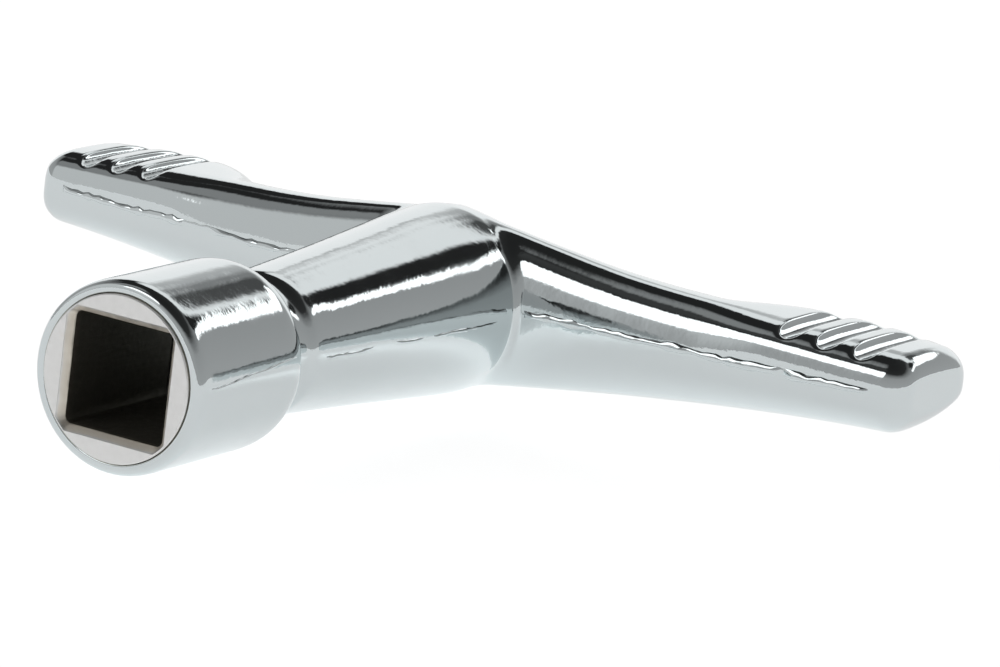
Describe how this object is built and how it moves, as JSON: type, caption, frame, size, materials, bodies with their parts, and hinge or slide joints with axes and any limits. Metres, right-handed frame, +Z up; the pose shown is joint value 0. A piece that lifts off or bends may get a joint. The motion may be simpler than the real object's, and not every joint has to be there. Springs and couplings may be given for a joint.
{
  "type": "t-handle tuning key",
  "caption": "Chromed T-handle tuning key: tapered grip wings with grooved thumb pads, a flared shaft and a round barrel whose steel insert has a square socket for tension rod heads.",
  "frame": {"origin": "under the middle of the key's outline, on the surface that it lies on", "axes": "+X along the grip wings, -Y out of the socket's mouth along the shaft, +Z up with the grooved thumb pads facing up"},
  "size_m": [0.058, 0.044, 0.0111],
  "materials": {
    "chrome_plate": "bright chrome plate over a polished die casting",
    "socket_steel": "dull plated steel, bare and dark inside the square hole"
  },
  "bodies": {
    "root": {"handle_casting": "chrome_plate", "socket_insert": "socket_steel"}
  },
  "joints": []
}
